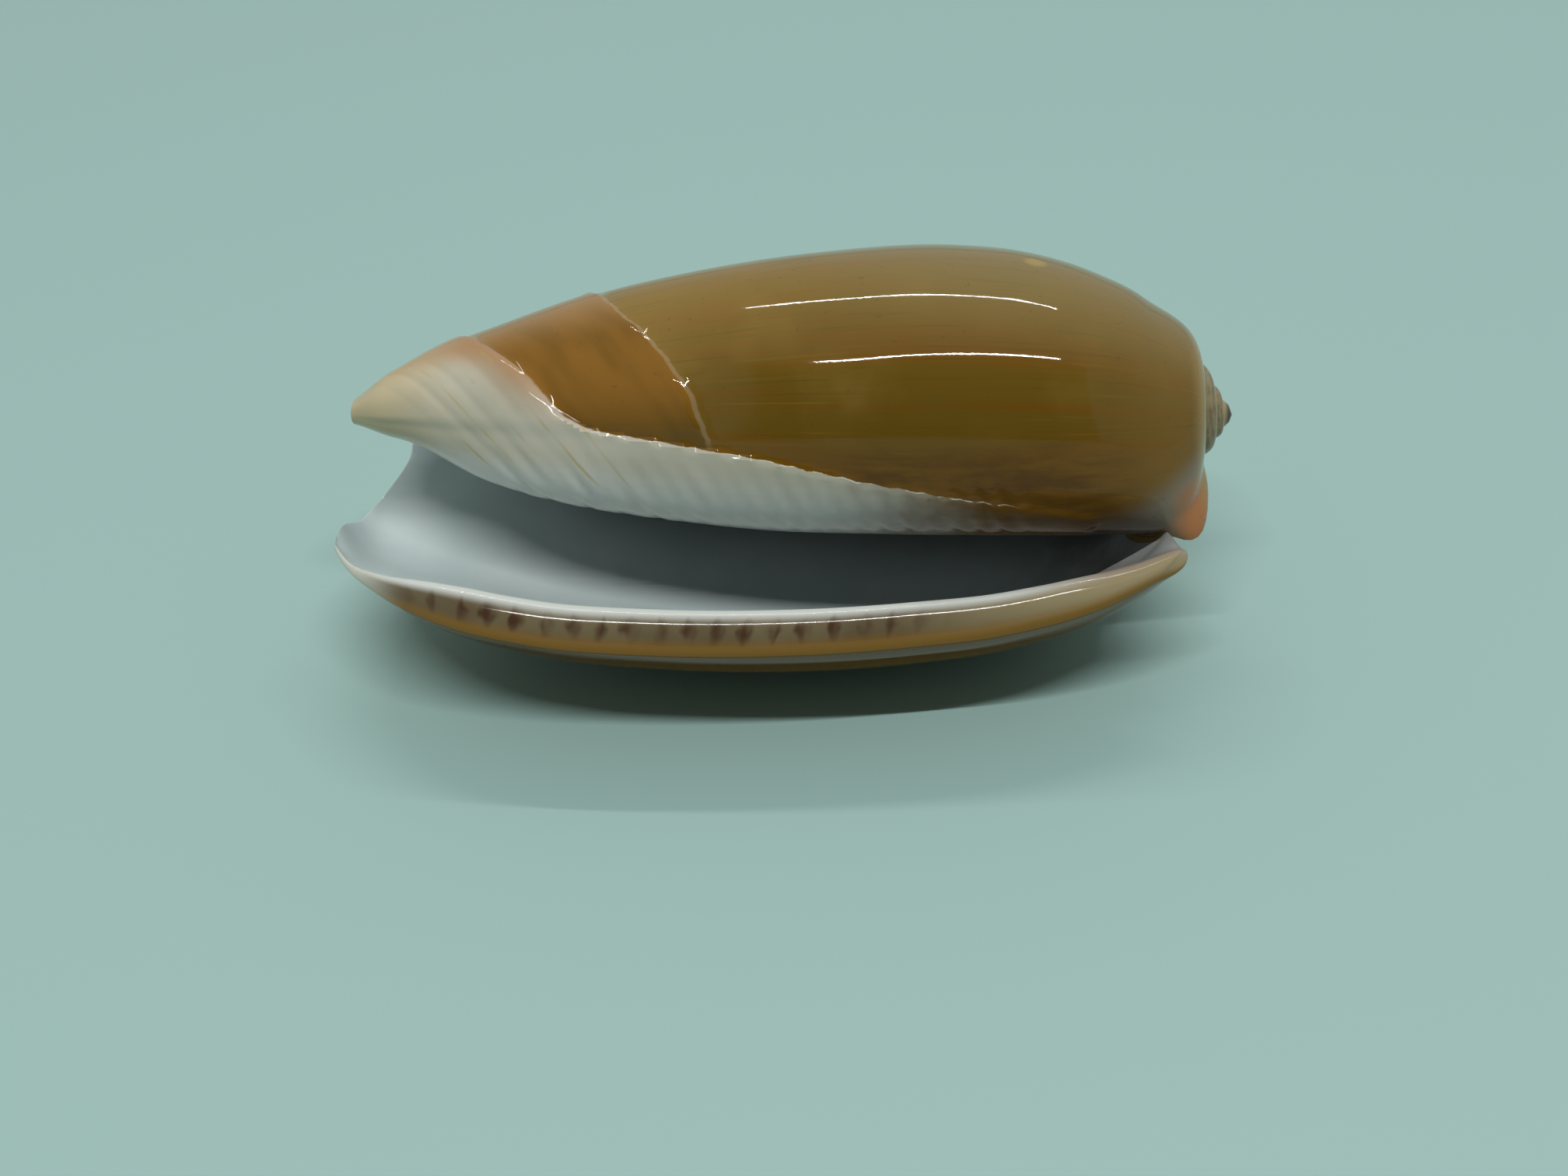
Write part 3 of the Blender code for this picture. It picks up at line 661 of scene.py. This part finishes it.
def make_shell():
    """Fine mesh of the shell in metres, with the marks that its finish reads."""
    surface = build_surface()
    points = rest_on_surface(surface.points)
    mesh = bpy.data.meshes.new("olive_shell")
    mesh.from_pydata((points * MM).tolist(), [], surface.faces)
    marks = np.array(surface.marks)
    x, turn = marks[:, 0], marks[:, 1]
    values = {
        "along": x,
        "wind": turn,
        "inner": marks[:, 2],
        "top": marks[:, 3],
        "callus": callus_edge(turn) - x,
        "ledge": ledge_edge(turn) - x,
        "plait": plait_phase(x, turn),
        # Turns past the edge of the painted shade inside the cavity
        "deep": turn - held(SHADE_LINE, x),
        "front": x - held(FRONT_MARGIN, np.maximum(turn, LIP_TIP_TURN)),
        "radius": np.hypot(*np.array([tuple(p) for p in surface.points])[:, 1:].T),
    }
    for name, data in values.items():
        layer = mesh.attributes.new(name, "FLOAT", "POINT")
        layer.data.foreach_set("value", np.ascontiguousarray(data, dtype=np.float32))
    mesh.validate()
    mesh.shade_smooth()
    mesh.set_sharp_from_angle(angle=math.radians(CREASE_ANGLE))
    shell = bpy.data.objects.new("olive_shell", mesh)
    bpy.context.scene.collection.objects.link(shell)
    return shell


class Graph:
    """Short names for making shader nodes."""

    def __init__(self, owner):
        self.tree = owner.node_tree

    def put(self, value, socket):
        if isinstance(value, bpy.types.NodeSocket):
            self.tree.links.new(value, socket)
        else:
            socket.default_value = value

    def node(self, kind, **settings):
        made = self.tree.nodes.new(kind)
        for key, value in settings.items():
            setattr(made, key, value)
        return made

    def mark(self, name):
        return self.node("ShaderNodeAttribute", attribute_name=name).outputs["Fac"]

    def math(self, operation, a, b=0.0):
        made = self.node("ShaderNodeMath", operation=operation)
        for value, socket in zip((a, b), made.inputs):
            self.put(value, socket)
        return made.outputs[0]

    def add(self, a, b):
        return self.math("ADD", a, b)

    def mul(self, a, b):
        return self.math("MULTIPLY", a, b)

    def flip(self, a):
        return self.math("SUBTRACT", 1.0, a)

    def step(self, a, low, high, first=0.0, second=1.0):
        made = self.node("ShaderNodeMapRange", interpolation_type="SMOOTHSTEP")
        for value, name in zip((a, low, high, first, second),
                               ("Value", "From Min", "From Max", "To Min", "To Max")):
            self.put(value, made.inputs[name])
        return made.outputs["Result"]

    def band(self, a, low, high, soft):
        """1 between low and high, falling to 0 over soft on each side."""
        return self.mul(self.step(a, low - soft, low), self.step(a, high, high + soft, 1.0, 0.0))

    def noise(self, vector, scale, detail, roughness, distortion=0.0):
        made = self.node("ShaderNodeTexNoise")
        self.put(vector, made.inputs["Vector"])
        made.inputs["Scale"].default_value = scale
        made.inputs["Detail"].default_value = detail
        made.inputs["Roughness"].default_value = roughness
        made.inputs["Distortion"].default_value = distortion
        return made.outputs["Fac"]

    def vector(self, x, y):
        made = self.node("ShaderNodeCombineXYZ")
        for value, socket in zip((x, y), made.inputs):
            self.put(value, socket)
        return made.outputs[0]

    def mix(self, share, first, second):
        made = self.node("ShaderNodeMix", data_type="RGBA")
        colours = [socket for socket in made.inputs if socket.type == "RGBA"]
        self.put(share, made.inputs[0])
        for value, socket in zip((first, second), colours):
            self.put(value if isinstance(value, bpy.types.NodeSocket) else (*value, 1.0), socket)
        return next(socket for socket in made.outputs if socket.type == "RGBA")


class Marks:
    """The mesh marks as shader values, and the noises that several parts of the finish share."""

    def __init__(self, g):
        self.along, self.wind, self.inner, self.top = (g.mark(n) for n in ("along", "wind", "inner", "top"))
        self.callus_gap, self.ledge_gap, self.front_gap = (g.mark(n) for n in ("callus", "ledge", "front"))
        self.plait, self.deep, self.radius = (g.mark(n) for n in ("plait", "deep", "radius"))
        self.place = g.node("ShaderNodeTexCoord").outputs["Object"]
        self.cloud = g.noise(self.place, 190.0, 3.0, 0.5)
        self.on_shoulder = g.step(self.top, 0.0, 0.02)
        self.on_spire = g.mul(g.step(self.wind, 386, 394), self.on_shoulder)
        self.on_edge = g.step(self.inner, 0.0, 0.05)

    def flow(self, g, along, wind, scale, detail, roughness, distortion=0.0):
        """Noise drawn out along the shell's growth lines."""
        return g.noise(g.vector(g.mul(self.along, along), g.mul(self.wind, wind)),
                       scale, detail, roughness, distortion)


def body_colour(g, m):
    """Golden olive brown with growth streaks along the axis, warmer below, paler towards both ends, and
    paler over the upper side, partly its own tone and partly painted sheen.
    """
    streak = m.flow(g, 0.045, 0.10, 1.0, 3.0, 0.6, 0.3)
    fine_streak = m.flow(g, 0.10, 0.75, 1.0, 3.0, 0.65, 0.2)
    body = g.mix(g.step(streak, 0.42, 0.60), BODY_OLIVE, BODY_BROWN)
    body = g.mix(g.mul(g.step(m.cloud, 0.45, 0.75), 0.30), body, BODY_TAN)
    # Paler tan away from the front and a grey-tan band on top: partly the shell's own tone, partly painted
    # sheen of the light from above
    body = g.mix(g.mul(g.step(m.wind, 292, 235), 0.55), body, BODY_TAN)
    body = g.mix(g.mul(g.step(m.wind, 300, 335), 0.8), body, BODY_LOW)
    body = g.mix(g.mul(g.step(m.along, 35, 43), 0.60), body, BODY_BACK)
    top_tone_and_sheen = g.mul(g.step(m.wind, 292, 240), g.step(m.along, 20, 34))
    body = g.mix(g.mul(top_tone_and_sheen, 0.65), body, BODY_TOP_TONE_AND_SHEEN)
    body = g.mix(g.mul(g.step(m.along, 24, 15), 0.30), body, BODY_TAN)
    body = g.mix(g.mul(g.step(fine_streak, 0.55, 0.80), 0.40), body, STREAK_DARK)
    body = g.mix(g.mul(g.step(fine_streak, 0.42, 0.25), 0.25), body, STREAK_PALE)

    # Red-brown cast next to the callus, and the small yellow spot
    smudge = g.mul(g.band(m.wind, 326, 352, 22), g.band(m.along, 28, 37.0, 4))
    smudge = g.mul(smudge, g.step(m.flow(g, 0.25, 0.12, 1.0, 3.0, 0.6), 0.36, 0.64))
    body = g.mix(g.mul(smudge, 0.6), body, RED_CAST)
    from_spot_x = g.math("POWER", g.add(m.along, -SPOT_X), 2.0)
    from_spot_turn = g.math("POWER", g.mul(g.add(m.wind, -SPOT_TURN), MM_PER_DEGREE), 2.0)
    from_spot = g.math("SQRT", g.add(from_spot_x, from_spot_turn))
    return g.mix(g.mul(g.step(from_spot, 0.75, 0.25), 0.8), body, YELLOW_SPOT)


def add_front_band(g, m, skin):
    """Band between the ledge and the fasciole: orange brown with faint slanting stripes, and a faint pale
    line on the ledge that is partly its own tint and partly painted highlight.
    """
    slant = g.mul(g.add(m.along, g.mul(m.wind, -0.06)), 0.40)
    stripe = g.noise(g.vector(slant, g.mul(m.wind, 0.015)), 1.0, 2.0, 0.5)
    front = g.mix(g.mul(g.step(stripe, 0.40, 0.68), 0.5), BAND_ORANGE, BAND_STRIPE)
    front = g.mix(g.mul(g.step(m.wind, 285, 318), 0.6), front, BAND_LOW)
    front = g.mix(g.mul(g.step(m.wind, 262, 225), 0.6), front, BAND_TOP)
    skin = g.mix(g.step(m.ledge_gap, -0.08, 0.12), skin, front)
    # Faint pale line along the ledge: partly the ledge's own paler tint, partly a painted highlight
    ledge_tint_and_glint = g.mul(g.band(m.ledge_gap, -0.10, 0.05, 0.10), g.step(m.wind, 322, 312))
    return g.mix(g.mul(ledge_tint_and_glint, 0.18), skin, LEDGE_PALE_AND_GLINT)


def add_lip_outside(g, m, skin):
    """Outside of the lip, orange brown, and the cream margin round the front notch."""
    lip_noise = m.flow(g, 0.9, 0.12, 1.0, 3.0, 0.6, 0.4)
    lip_turn = g.add(m.wind, g.mul(g.add(lip_noise, -0.5), 5.0))
    outside_lip = g.mix(g.step(lip_turn, 4.0, 16.0), LIP_OUTLINE, LIP_OUTSIDE)
    skin = g.mix(g.step(lip_turn, 46.0, 14.0), skin, outside_lip)
    margin = g.mul(g.step(m.front_gap, 1.6, 0.3), g.step(m.wind, 235, 200))
    return g.mix(margin, skin, MARGIN_CREAM)


def callus_share(g, m):
    """1 on the callus and fasciole, with a ragged edge, fading where the glaze thins out."""
    ragged = g.add(m.callus_gap, g.mul(g.add(g.noise(m.place, 900.0, 3.0, 0.6), -0.5), 0.5))
    thinning = g.add(m.along, g.mul(g.add(g.noise(m.place, 330.0, 3.0, 0.6), -0.5), 6.0))
    return g.mul(g.step(ragged, -0.10, 0.10), g.flip(g.step(thinning, 23.0, 34.0)))


def add_callus(g, m, skin, on_callus):
    """White callus and fasciole, peach along the upper edge, cream at the tip, yellow in the grooves."""
    white = g.mix(g.step(m.cloud, 0.35, 0.70), CALLUS_DEEP, CALLUS_PALE)
    white = g.mix(g.mul(g.step(m.wind, 325, 352), 0.9), white, CALLUS_LOW)
    white = g.mix(g.mul(g.step(m.wind, 275, 240), 0.85), white, PEACH)
    upper_edge = g.mul(g.step(m.callus_gap, 3.0, 0.3), g.step(m.wind, 318, 272))
    white = g.mix(g.mul(upper_edge, 0.85), white, PEACH)
    white = g.mix(g.mul(g.step(m.along, 8.0, 2.0), 0.70), white, TIP_CREAM)
    from_first = g.add(m.plait, 0.5 * PLAIT_SPACING - PLAITS_FROM)
    phase = g.math("FRACT", g.mul(from_first, 1.0 / PLAIT_SPACING))
    groove = g.step(g.math("ABSOLUTE", g.add(phase, -0.5)), 0.09, 0.01)
    broken = g.step(g.noise(m.place, 230.0, 3.0, 0.6), 0.46, 0.62)
    groove = g.mul(g.mul(groove, broken), g.band(m.plait, PLAITS_FROM, PLAITS_TO - 1.0, 0.8))
    groove = g.mul(groove, g.band(m.wind, 262, 336, 14))
    white = g.mix(g.mul(groove, 0.7), white, PLAIT_YELLOW)
    skin = g.mix(on_callus, skin, white)

    # Crumbs of white along the edge of the callus
    crumbs = g.step(g.noise(m.place, 1300.0, 3.0, 0.7), 0.42, 0.60)
    crumbs = g.mul(crumbs, g.mul(g.band(m.callus_gap, -0.05, 0.12, 0.10), g.band(m.along, 14.5, 33.0, 1.5)))
    return g.mix(g.mul(crumbs, 0.85), skin, CRUMB_WHITE)


def add_lobe(g, m, skin):
    """Grey glaze beside the lobe, and the orange lobe itself."""
    glaze_front = g.add(m.wind, g.mul(g.add(m.along, -37.0), 6.0))
    glaze = g.mul(g.step(glaze_front, 354, 378), g.step(m.along, 35.5, 38.5))
    glaze_tint = g.mix(g.step(m.along, 38.0, 42.0), GLAZE_DEEP, GLAZE_PALE)
    skin = g.mix(g.mul(glaze, 0.9), skin, glaze_tint)
    lobe_share = g.mul(g.step(m.along, 41.0, 42.8), g.band(m.wind, 350, 392, 12))
    return g.mix(g.mul(lobe_share, 0.95), skin, LOBE_ORANGE)


def add_spire(g, m, skin):
    """Grey-beige spire with darker spiral lines, a pale rim and a dark blunt tip."""
    spiral = g.noise(g.vector(g.mul(m.top, 3.0), g.mul(m.wind, 0.02)), 2.0, 3.0, 0.6)
    cone = g.mix(g.step(spiral, 0.40, 0.65), SPIRE_PALE, SPIRE_DEEP)
    cone = g.mix(g.band(m.top, 0.80, 1.0, 0.12), cone, SPIRE_RIM)
    cone = g.mix(g.band(m.top, -0.2, 0.10, 0.06), cone, SPIRE_SUTURE)
    cone = g.mix(g.step(m.radius, 0.75, 0.45), cone, SPIRE_TIP)
    pale_rim = g.mul(g.step(m.top, 0.45, 0.80), g.step(m.wind, 396, 386))
    skin = g.mix(g.mul(pale_rim, 0.8), skin, SHOULDER_RIM)
    skin = g.mix(m.on_spire, skin, cone)
    under_slot = g.mul(g.mul(g.step(m.wind, 360, 370), m.on_shoulder), g.step(m.along, 41.5, 41.1))
    return g.mix(under_slot, skin, SLOT_GREY)


def enamel_colour(g, m):
    """Bluish white inside, with a violet-grey cast at the back end and painted shade in the cavity where
    the columella's shadow falls.
    """
    enamel = g.mix(g.step(m.cloud, 0.35, 0.7), ENAMEL_DEEP, ENAMEL_PALE)
    back_cast = g.mul(g.step(m.along, 33, 40), g.step(g.noise(m.place, 300.0, 3.0, 0.6), 0.30, 0.62))
    enamel = g.mix(g.mul(back_cast, 0.75), enamel, ENAMEL_CAST)
    enamel = g.mix(g.mul(g.step(m.along, 36, 40.5), 0.6), enamel, ENAMEL_BACK)
    # Painted shade: darker enamel past the shade line, where the columella shades the inside, fading out
    # towards the front margin
    shade = g.mul(g.step(m.deep, -2, 34), g.step(m.front_gap, 2.0, 13.0))
    return g.mix(g.mul(shade, 0.90), enamel, ENAMEL_SHADE)


def lip_edge_colour(g, m):
    """Across the lip's edge: white inner rim, a row of soft red-brown spots, orange outer rim."""
    edge = g.mix(g.step(m.cloud, 0.35, 0.65), EDGE_DEEP, EDGE_PALE)
    edge = g.mix(g.step(m.along, 28, 38), edge, EDGE_BACK)
    rim_white = g.mix(g.step(m.along, 33, 39), RIM_WHITE, RIM_BACK)
    edge = g.mix(g.step(m.inner, 0.56, 0.76), edge, rim_white)
    edge = g.mix(g.step(m.inner, 0.42, 0.16), edge, EDGE_ORANGE)

    # Spots: a wave along the lip with uneven spacing, highest in the middle of the row
    uneven = g.noise(g.vector(g.mul(m.along, 0.8), g.mul(m.inner, 1.2)), 1.0, 2.0, 0.6)
    row = g.math("SINE", g.add(g.mul(m.along, 4.6), g.mul(uneven, 7.0)))
    row = g.add(row, g.mul(g.add(g.noise(m.place, 1200.0, 2.0, 0.6), -0.5), 0.6))
    row = g.add(row, g.mul(g.math("ABSOLUTE", g.add(m.inner, -0.47)), -7.5))
    spots = g.mul(g.step(row, -0.9, 0.8), g.step(uneven, 0.25, 0.60))
    spots = g.mul(spots, g.band(m.along, 8.0, 27.0, 4.5))
    edge = g.mix(g.mul(spots, 0.85), edge, EDGE_SPOT)
    return g.mix(g.step(m.along, 5.0, 1.5), edge, EDGE_FRONT)


def shell_finish():
    """Glossy olive-brown shell with its bands, callus, spotted lip and white inside, all by nodes."""
    material = bpy.data.materials.new("olive_shell_enamel")
    material.use_nodes = True
    g = Graph(material)
    shader = material.node_tree.nodes["Principled BSDF"]
    m = Marks(g)
    on_callus = callus_share(g, m)
    enamel = enamel_colour(g, m)
    skin = add_front_band(g, m, body_colour(g, m))
    skin = add_lip_outside(g, m, skin)
    skin = add_callus(g, m, skin, on_callus)
    skin = add_lobe(g, m, skin)
    skin = add_spire(g, m, skin)

    # Inside of the cavity, the lip's edge, and the free edge round the front notch
    hidden = g.mul(g.step(m.wind, 366, 382), g.step(m.top, 0.02, 0.0))
    skin = g.mix(hidden, skin, enamel)
    near_lip = g.step(m.wind, 30.0, 14.0)
    skin = g.mix(g.mul(m.on_edge, near_lip), skin, lip_edge_colour(g, m))
    round_notch = g.mul(g.flip(near_lip), g.step(m.along, 18, 14))
    skin = g.mix(g.mul(m.on_edge, round_notch), skin, RIM_WHITE)
    skin = g.mix(g.step(m.inner, 0.86, 0.98), skin, enamel)

    # Tiny dark specks on the coloured outside
    speck = g.noise(m.place, 2600.0, 2.0, 0.6)
    dusty = g.mul(g.step(speck, 0.66, 0.74), g.mul(g.flip(on_callus), g.step(m.inner, 0.3, 0.0)))
    skin = g.mix(g.mul(dusty, 0.35), skin, DUST)
    g.put(skin, shader.inputs["Base Color"])

    # Gloss: polished with faint growth ripples; the inside and the spire are duller
    rough = g.add(ROUGHNESS, g.mul(g.step(m.cloud, 0.4, 0.7), ROUGHNESS_OF_CLOUDS))
    rough = g.add(rough, g.mul(m.inner, ROUGHNESS_INSIDE))
    rough = g.add(rough, g.mul(m.on_spire, ROUGHNESS_OF_SPIRE))
    g.put(rough, shader.inputs["Roughness"])
    ripple = g.add(g.mul(m.flow(g, 0.06, 0.35, 1.0, 2.0, 0.5), 0.30),
                   g.mul(m.flow(g, 4.0, 0.5, 1.0, 2.0, 0.6), 0.25))
    relief_map = g.node("ShaderNodeBump")
    relief_map.inputs["Strength"].default_value = RIPPLE_STRENGTH
    relief_map.inputs["Distance"].default_value = RIPPLE_HEIGHT
    g.put(ripple, relief_map.inputs["Height"])
    g.put(relief_map.outputs["Normal"], shader.inputs["Normal"])
    shader.inputs["IOR"].default_value = SHELL_IOR
    return material


def plain(name, colour, roughness):
    """Material of one even colour."""
    material = bpy.data.materials.new(name)
    material.use_nodes = True
    shader = material.node_tree.nodes["Principled BSDF"]
    shader.inputs["Base Color"].default_value = (*colour, 1.0)
    shader.inputs["Roughness"].default_value = roughness
    return material


def make_floor():
    """Plain pale floor at z = 0."""
    half = FLOOR_SIZE / 2
    mesh = bpy.data.meshes.new("floor")
    corners = [(-half, -half, 0), (half, -half, 0), (half, half, 0), (-half, half, 0)]
    mesh.from_pydata(corners, [], [(0, 1, 2, 3)])
    mesh.materials.append(plain("pale_floor", FLOOR_COLOUR, FLOOR_ROUGHNESS))
    floor = bpy.data.objects.new("floor", mesh)
    bpy.context.scene.collection.objects.link(floor)
    return floor


def area_light(name, where, target, size, power):
    """Oblong soft light somewhere, turned to face the target."""
    data = bpy.data.lights.new(name, "AREA")
    data.shape = "RECTANGLE"
    data.size, data.size_y = size
    data.energy = power
    light = bpy.data.objects.new(name, data)
    light.visible_camera = False
    bpy.context.scene.collection.objects.link(light)
    light.location = where
    light.rotation_euler = (Vector(target) - Vector(where)).to_track_quat("-Z", "Y").to_euler()


def make_camera(apex):
    """Camera where the photograph was taken from, turned with the shell from its tilt there to rest."""
    turn_back = Matrix.Rotation(-math.radians(REST_PITCH - PHOTO_PITCH), 3, "Y")
    yaw = math.radians(CAMERA_YAW)
    down = math.radians(CAMERA_DOWN)
    roll = math.radians(CAMERA_ROLL)
    right = Vector((math.cos(yaw), math.sin(yaw), 0))
    head = Vector((-math.sin(yaw), math.cos(yaw), 0))
    forward = head * math.cos(down) - Vector((0, 0, math.sin(down)))
    up = right.cross(forward)
    offset = right * CAMERA_FROM_APEX.x + head * CAMERA_FROM_APEX.y + Vector((0, 0, CAMERA_FROM_APEX.z))
    x_axis = turn_back @ (right * math.cos(roll) + up * math.sin(roll))
    y_axis = turn_back @ (up * math.cos(roll) - right * math.sin(roll))
    z_axis = x_axis.cross(y_axis)
    data = bpy.data.cameras.new("camera")
    data.sensor_width = 36.0
    data.lens = FOCAL_PX * data.sensor_width / PHOTO_W
    data.clip_start = 0.005
    camera = bpy.data.objects.new("camera", data)
    basis = Matrix((x_axis, y_axis, z_axis)).transposed().to_4x4()
    camera.matrix_world = Matrix.Translation(apex + turn_back @ offset) @ basis
    bpy.context.scene.collection.objects.link(camera)
    bpy.context.scene.camera = camera


def make_world():
    """Soft surround: bright all round, with a darker part to the front that the gloss reflects."""
    world = bpy.data.worlds.new("studio")
    world.use_nodes = True
    g = Graph(world)
    background = world.node_tree.nodes["Background"]
    split = g.node("ShaderNodeSeparateXYZ")
    g.put(g.node("ShaderNodeTexCoord").outputs["Generated"], split.inputs[0])
    across, ahead = split.outputs["X"], split.outputs["Y"]
    dark = g.mul(g.step(ahead, -0.33, -0.37), g.band(across, -0.42, 0.55, 0.04))
    g.put(g.mix(dark, WORLD_BRIGHT, WORLD_DARK), background.inputs["Color"])
    g.put(g.step(ahead, -0.6, 0.4, *WORLD_LEVELS), background.inputs["Strength"])
    bpy.context.scene.world = world


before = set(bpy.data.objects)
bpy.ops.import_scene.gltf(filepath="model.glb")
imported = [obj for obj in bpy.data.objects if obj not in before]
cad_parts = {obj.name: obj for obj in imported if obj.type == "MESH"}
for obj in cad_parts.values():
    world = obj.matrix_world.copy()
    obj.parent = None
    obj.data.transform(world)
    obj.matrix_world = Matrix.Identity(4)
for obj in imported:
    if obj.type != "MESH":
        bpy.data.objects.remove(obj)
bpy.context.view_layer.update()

shell = make_shell()
shell.data.materials.append(shell_finish())
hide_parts("shell")
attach(shell, "root")

floor = make_floor()

corners = np.array([tuple(v.co) for v in shell.data.vertices])
apex = Vector(corners[int(np.argmax(corners[:, 0]))])
make_camera(apex)
make_world()
for name, (where, power) in TUBES.items():
    area_light(name, where, LIT_POINT, TUBE_SIZE, power)
bpy.context.scene.view_settings.view_transform = "Standard"
